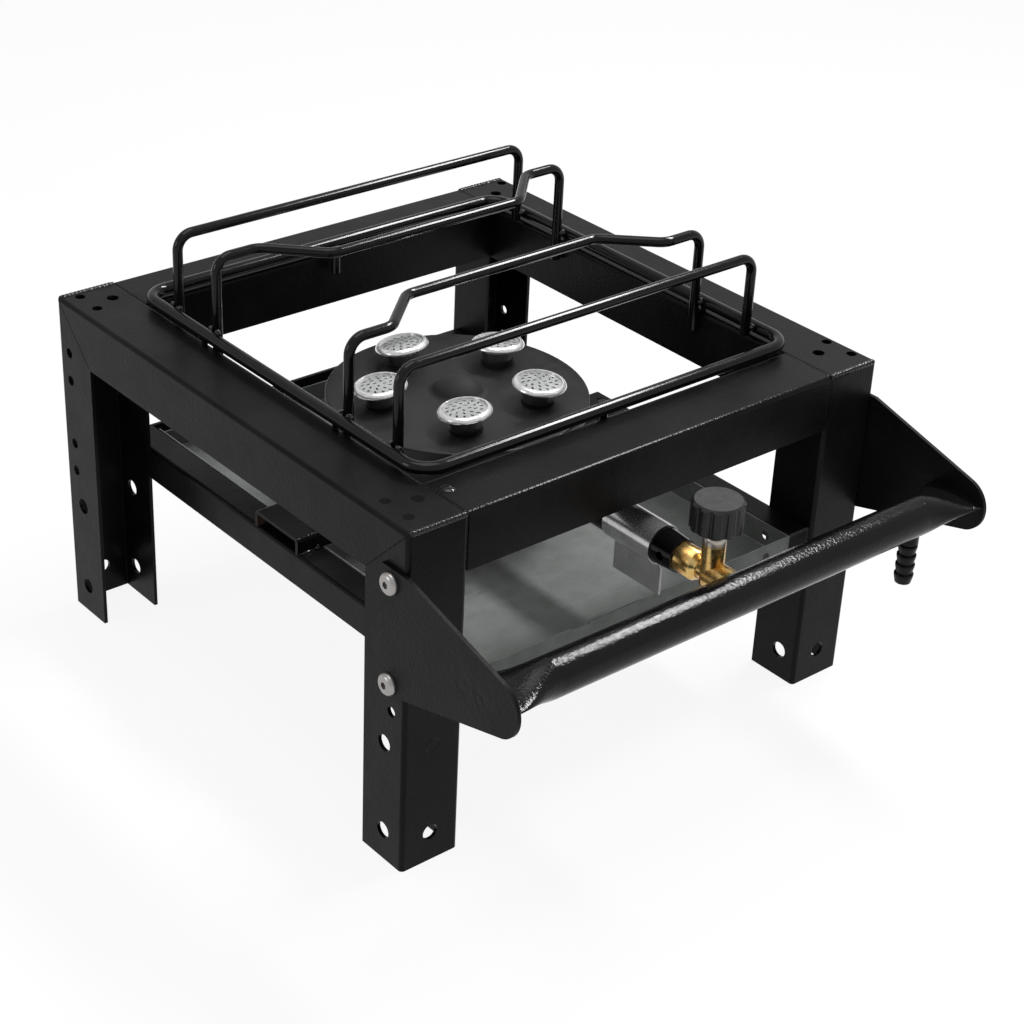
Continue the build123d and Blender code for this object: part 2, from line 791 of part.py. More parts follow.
# ---------------------------------------------------------------- gas train
mixer_plane = Plane(origin=(burner_x, mixer_front_y, tube_height), x_dir=(1, 0, 0), z_dir=(0, -1, 0))
with BuildPart() as mixer_tube:
    mixer_length = mixer_back_y - mixer_front_y
    with BuildSketch(Plane.XY.offset(tube_height)):
        with BuildLine():
            Polyline(
                (burner_x + mixer_radius - mixer_wall, mixer_back_y),
                (burner_x + mixer_radius, mixer_back_y),
                (burner_x + mixer_radius, mixer_front_y + mixer_nose_length),
                (burner_x + mixer_nose_radius, mixer_front_y),
                (burner_x + mixer_nose_radius - mixer_wall, mixer_front_y),
                (burner_x + mixer_radius - mixer_wall, mixer_front_y + mixer_nose_length),
                close=True,
            )
        make_face()
    revolve(axis=Axis((burner_x, mixer_front_y, tube_height), (0, 1, 0)))
    drill(
        Plane.YZ.offset(burner_x),
        [(mixer_front_y + air_hole_setback, tube_height)],
        air_hole,
        2 * mixer_radius,
    )
save(mixer_tube, "mixer_tube")

# One strip wrapped round the mixer; its two ends hang together below as finger tails
with BuildPart() as air_shutter:
    wrap_radius = mixer_radius + shutter_gap + shutter_sheet / 2
    tail_x = (shutter_sheet + shutter_tail_gap) / 2
    shoulder_x = tail_x + shutter_shoulder
    shoulder_drop = sqrt((wrap_radius + shutter_shoulder) ** 2 - shoulder_x**2)
    shoulder_turn = degrees(asin(shoulder_drop / (wrap_radius + shutter_shoulder)))
    with BuildSketch(mixer_plane.offset(-shutter_setback)):
        with BuildLine():
            Line((-tail_x, -shutter_tail_drop), (-tail_x, -shoulder_drop))
            CenterArc((-shoulder_x, -shoulder_drop), shutter_shoulder, 0, shoulder_turn)
            CenterArc((0, 0), wrap_radius, 180 + shoulder_turn, -90 - shoulder_turn)
            mirror(about=Plane.YZ)
        trace(line_width=shutter_sheet)
    extrude(amount=-shutter_length)
save(air_shutter, "air_shutter")

injector_face = mixer_plane.offset(injector_length)
with BuildPart() as injector:
    hexagon_prism(mixer_plane, injector_flats, injector_length)
    round_bar(mixer_plane, mixer_nose_radius - mixer_wall - stem_fit, -injector_spud)
    round_bar(injector_face, valve_bore / 2, -injector_length, Mode.SUBTRACT)
    round_bar(injector_face, injector_jet / 2, -2 * injector_length, Mode.SUBTRACT)
save(injector, "injector")

valve_middle = Plane(origin=(burner_x, valve_y, tube_height), x_dir=(1, 0, 0), z_dir=(0, -1, 0))
valve_foot = Plane(origin=(burner_x, valve_y, tube_height - valve_drop))
with BuildPart() as valve_body:
    round_bar(valve_foot, valve_radius, valve_drop + valve_rise)
    fillet(edges().filter_by(GeomType.CIRCLE).sort_by(Axis.Z)[0], radius=valve_radius / 3)
    round_bar(valve_middle, valve_inlet_radius, valve_y - tube_y)
    neck_length = mixer_front_y - injector_length - valve_y
    round_bar(valve_middle, valve_neck_radius, -neck_length)
    round_bar(tube_axis_plane.offset(-half_width), tube_radius, frame_width, Mode.SUBTRACT)
    round_bar(valve_middle, valve_bore / 2, valve_y - tube_y, Mode.SUBTRACT)
    round_bar(valve_middle, valve_bore / 2, -neck_length, Mode.SUBTRACT)
    chamber = Plane(origin=(burner_x, valve_y, stem_bottom - stem_radius))
    round_bar(chamber, valve_bore / 2, valve_body_top, Mode.SUBTRACT)
save(valve_body, "valve_body")

valve_axis = Axis((burner_x, valve_y, 0), (0, 0, 1))
valve_section = Plane(origin=(burner_x, valve_y, 0), x_dir=(1, 0, 0), z_dir=(0, -1, 0))
with BuildPart() as packing_nut:
    with BuildSketch(valve_section):
        with BuildLine():
            Polyline(
                (stem_radius + stem_fit, valve_body_top),
                (valve_radius, valve_body_top),
                (valve_radius, packing_top - valve_radius + packing_lip),
                (packing_lip, packing_top),
                (stem_radius + stem_fit, packing_top),
                close=True,
            )
        make_face()
    revolve(axis=valve_axis)
save(packing_nut, "packing_nut")

with BuildPart() as valve_stem:
    with BuildSketch(valve_section):
        with BuildLine():
            Polyline(
                (0, stem_bottom),
                (stem_radius, stem_bottom + stem_radius),
                (stem_radius, knob_bottom + stem_in_knob),
                (0, knob_bottom + stem_in_knob),
                close=True,
            )
        make_face()
    revolve(axis=valve_axis)
save(valve_stem, "valve_stem")

with BuildPart() as valve_knob:
    knob_foot = Plane(origin=(burner_x, valve_y, knob_bottom))
    round_bar(knob_foot, knob_radius, knob_height)
    chamfer(edges().filter_by(GeomType.CIRCLE).sort_by(Axis.Z)[-1], length=knob_top_chamfer)
    with BuildSketch(knob_foot):
        with PolarLocations(knob_radius - knob_flute_depth + knob_flute_radius, knob_flutes):
            Circle(knob_flute_radius)
    extrude(amount=knob_height, mode=Mode.SUBTRACT)
    with BuildSketch(knob_foot):
        Circle(knob_radius - knob_wall)
        Circle(knob_hub_radius, mode=Mode.SUBTRACT)
    extrude(amount=knob_recess, mode=Mode.SUBTRACT)
    round_bar(knob_foot, stem_radius, stem_in_knob, Mode.SUBTRACT)
save(valve_knob, "valve_knob")

# ---------------------------------------------------------------- grate
grate_middle = Plane.XY.offset(ring_z).shift_origin((grate_shift, 0, ring_z))
with BuildPart() as grate_ring:
    with BuildLine(grate_middle) as ring_path:
        FilletPolyline(
            (0, -ring_depth / 2),
            (ring_width / 2, -ring_depth / 2),
            (ring_width / 2, ring_depth / 2),
            (0, ring_depth / 2),
            radius=ring_corner,
        )
        mirror(about=Plane.YZ.offset(grate_shift))
    with BuildSketch(Plane(origin=ring_path.line @ 0, z_dir=ring_path.line % 0)):
        Circle(ring_rod)
    sweep(path=ring_path.line)
    pad_reach = ring_width / 2 + grate_pad_out
    with BuildSketch(Plane.XY.offset(frame_height + grate_seat_gap)):
        with Locations([(grate_shift + side * pad_reach, y) for side in (-1, 1) for y in bar_places[1:3]]):
            Circle(grate_pad_radius)
    extrude(amount=ring_z - frame_height - grate_seat_gap)
save(grate_ring, "grate_ring")

bar_ends = (ring_z - ring_rod, peg_end, peg_end, ring_z - ring_rod)
jog_outer = leg_reach - jog_inset
jog_inner = jog_outer - jog_run
for number, (bar_y, jog, end) in enumerate(zip(bar_places, bar_jogs, bar_ends), start=1):
    with BuildPart() as grate_bar:
        left_leg = [(-leg_reach, bar_y, end), (-leg_reach, bar_y, bar_top)]
        right_leg = [(leg_reach, bar_y, bar_top), (leg_reach, bar_y, end)]
        crossing = []
        if jog:
            crossing = [
                (-jog_outer, bar_y, bar_top),
                (-jog_inner, bar_y + jog, bar_top),
                (jog_inner, bar_y + jog, bar_top),
                (jog_outer, bar_y, bar_top),
            ]
        bends = [bar_bend] + [jog_bend] * len(crossing) + [bar_bend]
        with BuildLine(Plane((grate_shift, 0, 0))) as bar_path:
            FilletPolyline(*left_leg, *crossing, *right_leg, radius=bends)
        with BuildSketch(Plane(origin=bar_path.line @ 0, z_dir=bar_path.line % 0)):
            Circle(bar_rod)
        sweep(path=bar_path.line)
    save(grate_bar, f"grate_bar_{number}")

with BuildPart() as grate_pegs:
    with BuildSketch(Plane.XY.offset(peg_end)):
        with Locations((peg_places[0], peg_y), (peg_places[1], -peg_y)):
            Circle(bar_rod)
    extrude(amount=ring_z - peg_end)
save(grate_pegs, "grate_pegs")
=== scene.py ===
"""Looks of the stock pot range: materials, weld beads, small turned pieces, light and camera.

Lengths are in metres. Every node keeps its mesh and gets a material. The pieces made here are
trim that the solids leave out, and two turned pieces that replace plainer nodes.
"""
from math import cos, pi, radians, sin

import bmesh
import bpy
from mathutils import Matrix, Vector


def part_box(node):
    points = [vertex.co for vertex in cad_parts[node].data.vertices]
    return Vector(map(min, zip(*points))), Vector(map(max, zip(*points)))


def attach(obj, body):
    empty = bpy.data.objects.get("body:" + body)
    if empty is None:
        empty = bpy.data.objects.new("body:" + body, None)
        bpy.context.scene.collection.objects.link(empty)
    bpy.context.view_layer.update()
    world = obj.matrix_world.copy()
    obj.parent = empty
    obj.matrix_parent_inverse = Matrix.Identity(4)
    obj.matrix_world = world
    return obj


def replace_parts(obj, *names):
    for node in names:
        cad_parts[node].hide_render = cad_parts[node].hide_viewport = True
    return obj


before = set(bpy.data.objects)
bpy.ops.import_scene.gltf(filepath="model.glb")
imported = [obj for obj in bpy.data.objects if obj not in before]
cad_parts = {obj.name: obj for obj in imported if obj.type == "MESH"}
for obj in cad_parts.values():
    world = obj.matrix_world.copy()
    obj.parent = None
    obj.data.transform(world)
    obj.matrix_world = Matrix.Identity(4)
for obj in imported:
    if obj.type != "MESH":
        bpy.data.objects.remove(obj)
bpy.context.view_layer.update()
scene = bpy.context.scene


def middle_of(node):
    low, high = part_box(node)
    return (low + high) / 2


# ---------------------------------------------------------------- material helpers
def scaled(tone, factor):
    return tuple(factor * channel for channel in tone)


class Shader:
    """A material with one Principled shader, and short calls that add and join nodes."""

    def __init__(self, name, colour, metallic=0.0, roughness=0.5, specular=0.5):
        self.material = bpy.data.materials.new(name)
        self.material.use_nodes = True
        self.tree = self.material.node_tree
        self.shader = self.tree.nodes["Principled BSDF"]
        self.shader.inputs["Base Color"].default_value = (*colour, 1)
        self.shader.inputs["Metallic"].default_value = metallic
        self.shader.inputs["Roughness"].default_value = roughness
        self.shader.inputs["Specular IOR Level"].default_value = specular
        self.place = self.add("ShaderNodeTexCoord").outputs["Object"]
        self.normal = None

    def add(self, kind, **settings):
        node = self.tree.nodes.new(kind)
        for key, value in settings.items():
            setattr(node, key, value)
        return node

    def join(self, source, target):
        self.tree.links.new(source, target)

    def feed(self, socket, item):
        """Joins a socket to another one, or sets it to a number, a vector or a colour."""
        if isinstance(item, bpy.types.NodeSocket):
            self.join(item, socket)
        elif socket.type == "RGBA":
            socket.default_value = (*item, 1)
        else:
            socket.default_value = item

    def vector(self, operation, first, second):
        """Vector maths of two vectors or sockets."""
        node = self.add("ShaderNodeVectorMath", operation=operation)
        self.feed(node.inputs[0], first)
        self.feed(node.inputs[1], second)
        return node.outputs["Value" if operation == "DOT_PRODUCT" else "Vector"]

    def math(self, operation, first, second=0.0):
        """Maths of two numbers or sockets."""
        node = self.add("ShaderNodeMath", operation=operation)
        self.feed(node.inputs[0], first)
        self.feed(node.inputs[1], second)
        return node.outputs["Value"]

    def parts(self, vector):
        """The three parts of a vector socket."""
        node = self.add("ShaderNodeSeparateXYZ")
        self.join(vector, node.inputs["Vector"])
        return node.outputs

    def stretched(self, scale):
        """Object coordinates multiplied by a factor on each axis."""
        return self.vector("MULTIPLY", self.place, scale)

    def distance(self, centre, axes):
        """Distance from a point, along the axes that are 1."""
        away = self.vector("MULTIPLY", self.vector("SUBTRACT", self.place, centre), axes)
        node = self.add("ShaderNodeVectorMath", operation="LENGTH")
        self.join(away, node.inputs[0])
        return node.outputs["Value"]

    def surface_normal(self):
        return self.add("ShaderNodeNewGeometry").outputs["Normal"]

    def facing(self, direction):
        """How far the surface faces a direction, from -1 to 1."""
        return self.vector("DOT_PRODUCT", self.surface_normal(), direction)

    def squareness(self):
        """1 where the surface faces along an axis, and less where a fold turns."""
        sizes = [self.math("ABSOLUTE", part) for part in self.parts(self.surface_normal())]
        return self.math("MAXIMUM", self.math("MAXIMUM", sizes[0], sizes[1]), sizes[2])

    def noise(self, scale, detail=3.0, roughness=0.5, place=None, distortion=0.0):
        """Noise with about so many bumps to the metre."""
        node = self.add("ShaderNodeTexNoise")
        node.inputs["Scale"].default_value = scale
        node.inputs["Detail"].default_value = detail
        node.inputs["Roughness"].default_value = roughness
        node.inputs["Distortion"].default_value = distortion
        self.join(place or self.place, node.inputs["Vector"])
        return node.outputs[0]

    def span(self, value, source, target):
        """Maps a value from one range to another, and holds it at the ends."""
        node = self.add("ShaderNodeMapRange")
        for index, number in enumerate((*source, *target), start=1):
            node.inputs[index].default_value = number
        self.join(value, node.inputs["Value"])
        return node.outputs["Result"]

    def ramp(self, value, stops):
        """A colour ramp; each stop is a position and a colour."""
        node = self.add("ShaderNodeValToRGB")
        while len(node.color_ramp.elements) < len(stops):
            node.color_ramp.elements.new(0.5)
        for element, (position, tone) in zip(node.color_ramp.elements, stops):
            element.position = position
            element.color = (*tone, 1)
        self.join(value, node.inputs["Fac"])
        return node.outputs["Color"]

    def mix(self, factor, first, second):
        """Mixes two colours or sockets."""
        node = self.add("ShaderNodeMix", data_type="RGBA")
        for socket, item in ((0, factor), (6, first), (7, second)):
            self.feed(node.inputs[socket], item)
        return node.outputs[2]

    def bump(self, height, distance):
        """Adds a bump on top of the ones before it; distance is in metres."""
        node = self.add("ShaderNodeBump")
        node.inputs["Strength"].default_value = 1.0
        node.inputs["Distance"].default_value = distance
        self.join(height, node.inputs["Height"])
        if self.normal:
            self.join(self.normal, node.inputs["Normal"])
        self.normal = node.outputs["Normal"]
        self.join(self.normal, self.shader.inputs["Normal"])

    def colour(self, output):
        self.join(output, self.shader.inputs["Base Color"])

    def roughness(self, output):
        self.join(output, self.shader.inputs["Roughness"])


# ---------------------------------------------------------------- materials
MIDDLE_OF_NOISE = (0.3, 0.7)  # where most of a noise lies
FRAME_BLACK = (0.004, 0.004, 0.0043)
GLOSS_BLACK = (0.003, 0.003, 0.0033)


def powder_coat(name, tone, specular, roughness, grain, wave, folds=1.0):
    """Black powder coat: orange peel over a slow wave, with a little handling dust.

    grain and wave are each a number of bumps to the metre and a height in metres. folds is how
    much the roughness changes where the sheet turns from one flat to the next.
    """
    look = Shader(name, tone, roughness=roughness, specular=specular)
    dust = look.span(look.noise(11.0, 5.0, 0.6), (0.4, 0.72), (0.0, 1.0))
    look.colour(look.mix(dust, tone, scaled(tone, 2.2)))
    limits = (0.85 * roughness, 1.2 * roughness)
    patches = look.span(look.noise(38.0, 5.0, 0.6), MIDDLE_OF_NOISE, limits)
    if folds != 1:
        change = look.span(look.squareness(), (0.94, 0.995), (folds, 1.0))
        patches = look.math("MULTIPLY", patches, change)
    look.roughness(patches)
    for bumps, height in (wave, grain):
        look.bump(look.noise(bumps, 2.0), height)
    return look


def sheet_coat(name, grain=(400.0, 0.0002), folds=0.35):
    """The powder coat of the frame's sheet."""
    return powder_coat(name, FRAME_BLACK, 0.08, 0.34, grain, (110.0, 0.0001), folds)


def plate_coat():
    """The brackets' coat, with the two soft dents that the tube's welds leave in the plate."""
    look = sheet_coat("plate_coat", folds=1.6)
    for centre in ((-0.2316, -0.2947, 0.2019), (-0.2316, -0.3116, 0.2005)):
        wander = look.span(look.noise(140.0, 2.0), MIDDLE_OF_NOISE, (-0.002, 0.002))
        away = look.math("ADD", look.distance(centre, (0, 1, 1)), wander)
        look.bump(look.math("COSINE", look.span(away, (0.0, 0.01), (0.0, 2 * pi))), 0.00006)
    return look


def bar_coat():
    """The frame's coat, with bare, faintly rusty steel on the inside of the burner bar."""
    look = sheet_coat("bar_coat")
    from_middle = look.vector("SUBTRACT", look.place, (0, middle_of("burner_bar").y, 0))
    across = look.vector("MULTIPLY", from_middle, (0, 1, 0))
    inward = look.vector("DOT_PRODUCT", look.surface_normal(), across)
    faces_middle = look.math("LESS_THAN", inward, -0.004)
    faces_down = look.math("LESS_THAN", look.facing((0, 0, 1)), -0.5)
    inside = look.math("MAXIMUM", faces_middle, faces_down)
    stops = [(0.3, (0.018, 0.012, 0.01)), (0.7, (0.1, 0.062, 0.045))]
    rust = look.ramp(look.noise(70.0, 5.0, 0.65), stops)
    look.colour(look.mix(inside, FRAME_BLACK, rust))
    return look


def burner_paint():
    """Heat paint over turned steel: the turning shows as faint rings, the boss is duller."""
    ring_pitch = 0.0032
    look = Shader("burner_paint", (0.006, 0.006, 0.0065), roughness=0.42, specular=0.28)
    from_axis = look.distance(middle_of("burner_top"), (1, 1, 0))
    cloud = look.noise(46.0, 5.0, 0.6)
    fade = look.span(cloud, (0.35, 0.7), (0.0, 1.0))
    look.colour(look.mix(fade, (0.005, 0.005, 0.0055), (0.013, 0.013, 0.014)))
    on_boss = look.span(from_axis, (0.02, 0.04), (0.28, 0.0))
    look.roughness(look.math("ADD", look.span(cloud, MIDDLE_OF_NOISE, (0.36, 0.48)), on_boss))
    look.bump(look.noise(26.0, 1.0), 0.0004)
    look.bump(look.math("SINE", look.math("MULTIPLY", from_axis, 2 * pi / ring_pitch)), 0.000007)
    look.bump(look.noise(620.0, 3.0), 0.00004)
    return look


def cast_aluminium(name, tone, roughness, pits, dimples):
    """Bare aluminium: fine pits over the coarser dimples left by pressing."""
    look = Shader(name, tone, metallic=0.62, roughness=roughness)
    dull = look.span(look.noise(170.0, 4.0, 0.6), (0.35, 0.7), (0.0, 1.0))
    look.colour(look.mix(dull, tone, scaled(tone, 0.8)))
    limits = (0.75 * roughness, 1.3 * roughness)
    look.roughness(look.span(look.noise(420.0, 3.0), MIDDLE_OF_NOISE, limits))
    look.bump(look.noise(300.0, 2.0), dimples)
    look.bump(look.noise(900.0, 2.0), pits)
    return look


def turned_steel():
    """Dark bare steel with fine turning lines round the upright axis."""
    look = Shader("turned_steel", (0.3, 0.3, 0.3), metallic=1.0, roughness=0.3)
    stops = [(0.3, (0.24, 0.235, 0.23)), (0.7, (0.36, 0.355, 0.35))]
    look.colour(look.ramp(look.noise(90.0, 3.0), stops))
    look.bump(look.noise(1.0, 2.0, place=look.stretched((40.0, 40.0, 2600.0))), 0.00002)
    return look


def galvanised(name, tone, metallic, roughness, lines, wave, line_height):
    """Bare zinc-coated sheet with lines to the metre across it, and painted shade that darkens the
    faces towards the front.
    """
    look = Shader(name, tone, metallic=metallic, roughness=roughness)
    spangle = look.span(look.noise(60.0, 5.0, 0.6, distortion=0.4), MIDDLE_OF_NOISE, (0.0, 1.0))
    zinc = look.mix(spangle, scaled(tone, 0.88), scaled(tone, 1.12))
    # Painted shade: faces that turn to the front (-Y) are mixed up to halfway towards black.
    front = look.span(look.facing((0, -1, 0)), (0.5, 0.9), (0.0, 0.5))
    look.colour(look.mix(front, zinc, (0.0, 0.0, 0.0)))
    streaks = look.noise(1.0, 3.0, place=look.stretched((60.0, lines, 60.0)))
    limits = (0.85 * roughness, 1.2 * roughness)
    look.roughness(look.span(streaks, MIDDLE_OF_NOISE, limits))
    look.bump(look.noise(13.0, 1.0), wave)
    look.bump(streaks, line_height)
    return look


def brass():
    """Brass, tarnished from copper red to a greenish yellow."""
    look = Shader("brass", (0.6, 0.42, 0.16), metallic=1.0, roughness=0.2)
    stops = [
        (0.32, (0.48, 0.24, 0.09)),
        (0.46, (0.58, 0.37, 0.12)),
        (0.58, (0.64, 0.43, 0.17)),
        (0.7, (0.46, 0.4, 0.15)),
    ]
    look.colour(look.ramp(look.noise(120.0, 3.0, distortion=0.8), stops))
    look.roughness(look.span(look.noise(300.0, 2.0), MIDDLE_OF_NOISE, (0.2, 0.32)))
    look.bump(look.noise(700.0, 2.0), 0.000004)
    return look


def packing_brass():
    """Nickel plate, worn through to the brass at its foot."""
    look = Shader("packing_brass", (0.6, 0.56, 0.5), metallic=1.0, roughness=0.34)
    wander = look.span(look.noise(160.0, 3.0), MIDDLE_OF_NOISE, (-0.0012, 0.0012))
    height = look.math("ADD", look.parts(look.place)["Z"], wander)
    plate = look.span(height, (0.2285, 0.232), (0.0, 1.0))
    look.colour(look.mix(plate, (0.5, 0.34, 0.13), (0.44, 0.4, 0.36)))
    look.bump(look.noise(700.0, 2.0), 0.000006)
    return look


def plated(name, tone, roughness):
    """Zinc plate on screws, bolts and nuts."""
    look = Shader(name, tone, metallic=1.0, roughness=roughness)
    look.colour(look.mix(look.noise(200.0, 3.0), tone, scaled(tone, 0.78)))
    limits = (0.75 * roughness, 1.3 * roughness)
    look.roughness(look.span(look.noise(500.0, 2.0), MIDDLE_OF_NOISE, limits))
    look.bump(look.noise(1100.0, 2.0), 0.00001)
    return look


def moulded(name, tone, worn, specular):
    """Moulded plastic, its upward faces scuffed grey."""
    look = Shader(name, tone, roughness=0.3, specular=specular)
    scuffs = look.span(look.noise(190.0, 6.0, 0.7), (0.35, 0.7), (0.3, 0.85))
    upward = look.span(look.facing((0, 0, 1)), (0.6, 0.95), (0.12, 1.0))
    look.colour(look.mix(look.math("MULTIPLY", scuffs, upward), tone, worn))
    smooth = look.span(look.noise(80.0, 4.0), MIDDLE_OF_NOISE, (0.15, 0.26))
    look.roughness(look.math("ADD", smooth, look.math("MULTIPLY", upward, 0.2)))
    look.bump(look.noise(620.0, 3.0), 0.00003)
    return look


looks = {
    "frame": sheet_coat("frame_coat", grain=(480.0, 0.00017)),
    "plate": plate_coat(),
    "bar": bar_coat(),
    "tube": powder_coat("tube_coat", GLOSS_BLACK, 0.18, 0.12, (470.0, 0.00026), (150.0, 0.0001)),
    "grate": powder_coat("grate_coat", GLOSS_BLACK, 0.2, 0.12, (600.0, 0.000012), (60.0, 0.00005)),
    "weld": powder_coat("weld_coat", GLOSS_BLACK, 0.4, 0.13, (420.0, 0.0001), (150.0, 0.0003)),
    "corner": powder_coat(
        "corner_coat", GLOSS_BLACK, 0.32, 0.14, (480.0, 0.00026), (150.0, 0.0001)
    ),
    "seam": powder_coat(
        "seam_filler", (0.0012, 0.0012, 0.0013), 0.03, 0.5, (500.0, 0.00008), (120.0, 0.00007)
    ),
    "plug": powder_coat(
        "plug_coat", (0.003, 0.003, 0.003), 0.03, 0.4, (400.0, 0.0002), (110.0, 0.0001)
    ),
    "barb": powder_coat(
        "barb_coat", (0.004, 0.004, 0.004), 0.12, 0.3, (900.0, 0.00003), (200.0, 0.00005)
    ),
    "burner": burner_paint(),
    "tip": cast_aluminium("tip_aluminium", (0.82, 0.82, 0.815), 0.2, 0.00001, 0.00004),
    "screen": cast_aluminium("screen_aluminium", (0.6, 0.605, 0.61), 0.2, 0.00002, 0.0004),
    "riser": turned_steel(),
    "tray": galvanised("tray_zinc", (0.19, 0.2, 0.192), 0.8, 0.54, 700.0, 0.0005, 0.000006),
    "shutter": galvanised("shutter_zinc", (0.56, 0.56, 0.56), 0.78, 0.2, 2500.0, 0.0002, 0.000007),
    "brass": brass(),
    "nickel": packing_brass(),
    "zinc": plated("zinc_plate", (0.38, 0.365, 0.355), 0.32),
    "knob": moulded("knob_moulding", (0.006, 0.006, 0.007), (0.045, 0.045, 0.047), 0.28),
}

# The start of a node's name and its look; the first that fits counts.
LOOK_OF_NODE = (
    ("grate", "grate"),
    ("port_riser", "riser"),
    ("port_screen", "screen"),
    ("port_tip", "tip"),
    ("burner_spacers", "riser"),
    ("burner_bolts", "zinc"),
    ("burner_nuts", "zinc"),
    ("burner_bar", "bar"),
    ("burner", "burner"),
    ("bracket_", "zinc"),
    ("handle_bracket", "plate"),
    ("handle_tube", "tube"),
    ("hose_barb", "barb"),
    ("mixer_tube", "grate"),
    ("air_shutter", "shutter"),
    ("drip_tray", "tray"),
    ("injector", "brass"),
    ("valve_body", "brass"),
    ("valve_stem", "brass"),
    ("packing_nut", "nickel"),
    ("valve_knob", "knob"),
    ("hole_plugs", "plug"),
    ("", "frame"),
)

for name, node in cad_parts.items():
    look = next(look for start, look in LOOK_OF_NODE if name.startswith(start))
    node.data.materials.clear()
    node.data.materials.append(looks[look].material)


# ---------------------------------------------------------------- piece helpers
def add_piece(name, work, look, body="frame"):
    """Turns a finished bmesh into a piece that moves with a body."""
    mesh = bpy.data.meshes.new(name)
    work.to_mesh(mesh)
    work.free()
    mesh.materials.append(looks[look].material)
    piece = bpy.data.objects.new(name, mesh)
    scene.collection.objects.link(piece)
    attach(piece, body)
    return piece


def skin(work, rings):
    """Joins rings of vertices into a smooth tube with flat ends."""
    count = len(rings[0])
    for first, second in zip(rings, rings[1:]):
        for k in range(count):
            after = (k + 1) % count
            face = work.faces.new((first[k], first[after], second[after], second[k]))
            face.smooth = True
    work.faces.new(rings[0][::-1])
    work.faces.new(rings[-1])


def circle(centre, turn, radius, count):
    """Points round a circle whose axis is the turned Z axis."""
    angles = [2 * pi * k / count for k in range(count)]
    return [centre + turn @ Vector((radius * cos(a), radius * sin(a), 0)) for a in angles]


# ---------------------------------------------------------------- weld beads
def bead(name, body, centre, size, phase):
    """A lumpy, smooth weld bead; size is its half size on each axis."""
    work = bmesh.new()
    bmesh.ops.create_icosphere(work, subdivisions=3, radius=1.0)
    for vertex in work.verts:
        x, y, z = vertex.co
        lump = 1 + 0.09 * sin(5 * x + phase) + 0.08 * sin(6 * y + 2 * phase) + 0.05 * cos(7 * z)
        vertex.co = Vector(half * part * lump for half, part in zip(size, (x, y, z)))
        vertex.co += Vector(centre)
    for face in work.faces:
        face.smooth = True
    add_piece(name, work, "weld", body)


# Grate: a bead in front of and behind each leg of the bars, on top of the ring. The inner bars
# jog towards the middle, so their legs stand at the outer edge of their boxes.
BAR_RADIUS = 0.004
GRATE_BEAD = (0.0030, 0.0026, 0.0030)
weld_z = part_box("grate_ring")[1].z - GRATE_BEAD[2]
for number in (1, 2, 3, 4):
    low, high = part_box(f"grate_bar_{number}")
    leg_y = {2: high.y - BAR_RADIUS, 3: low.y + BAR_RADIUS}.get(number, (low.y + high.y) / 2)
    for side, leg_x in (("left", low.x + 0.0012), ("right", high.x - 0.0012)):
        for end, step in (("back", 0.0042), ("front", -0.0042)):
            name = f"weld_grate_{number}_{side}_{end}"
            centre = (leg_x, leg_y + step, weld_z)
            bead(name, "grate", centre, GRATE_BEAD, number + step * 300)

# Burner bar: a tack and a run of weld where each end stands on its lower rail.
low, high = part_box("burner_bar")
number = 0
for out in (-1, 1):
    for along, ahead, above, size in (
        (0.1585, 0.0006, 0.0010, (0.0026, 0.0019, 0.0026)),
        (0.1680, 0.0004, 0.0004, (0.0085, 0.0014, 0.0012)),
    ):
        number += 1
        centre = (out * along, low.y - ahead, low.z + above)
        bead(f"weld_bar_{number}", "frame", centre, size, number)


# ---------------------------------------------------------------- turned pieces
def turned(name, look, origin, axis, profile, body="frame"):
    """A turned piece: profile is (distance along the axis, radius) pairs, from the origin."""
    work = bmesh.new()
    turn = Vector(axis).to_track_quat("Z", "Y")
    rings = []
    for along, radius in profile:
        centre = Vector(origin) + turn @ Vector((0, 0, along))
        rings.append([work.verts.new(point) for point in circle(centre, turn, radius, 96)])
    skin(work, rings)
    for face in work.faces:
        face.smooth = True
    piece = add_piece(name, work, look, body)
    piece.data.set_sharp_from_angle(angle=radians(40))
    return piece


# A painted-over plug in the front of the left leg, and a domed one in the front rail's top
leg_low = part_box("leg_front_left")[0]
turned(
    "leg_hole_plug",
    "frame",
    (-0.203, leg_low.y + 0.001, 0.1025),
    (0, -1, 0),
    [(0.0, 0.0064), (0.0009, 0.0064), (0.0012, 0.0060), (0.0008, 0.0052), (0.0007, 0.002)],
)
rail_low, rail_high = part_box("front_rail")
turned(
    "rail_plug",
    "weld",
    (rail_low.x + 0.0082, rail_low.y + 0.0334, rail_high.z - 0.0001),
    (0, 0, 1),
    [
        (0.0, 0.0052),
        (0.0004, 0.0052),
        (0.0008, 0.0047),
        (0.0013, 0.0036),
        (0.0016, 0.0023),
        (0.0017, 0.0008),
    ],
)

# The injector's round body, from just inside the mixer to the valve
injector = middle_of("injector")
injector.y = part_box("injector")[1].y + 0.0005
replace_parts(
    turned(
        "injector_body",
        "brass",
        injector,
        (0, -1, 0),
        [
            (0.0, 0.0098),
            (0.0006, 0.0114),
            (0.0012, 0.0117),
            (0.0256, 0.0117),
            (0.0266, 0.0111),
            (0.0284, 0.0088),
            (0.0300, 0.0082),
        ],
    ),
    "injector",
)

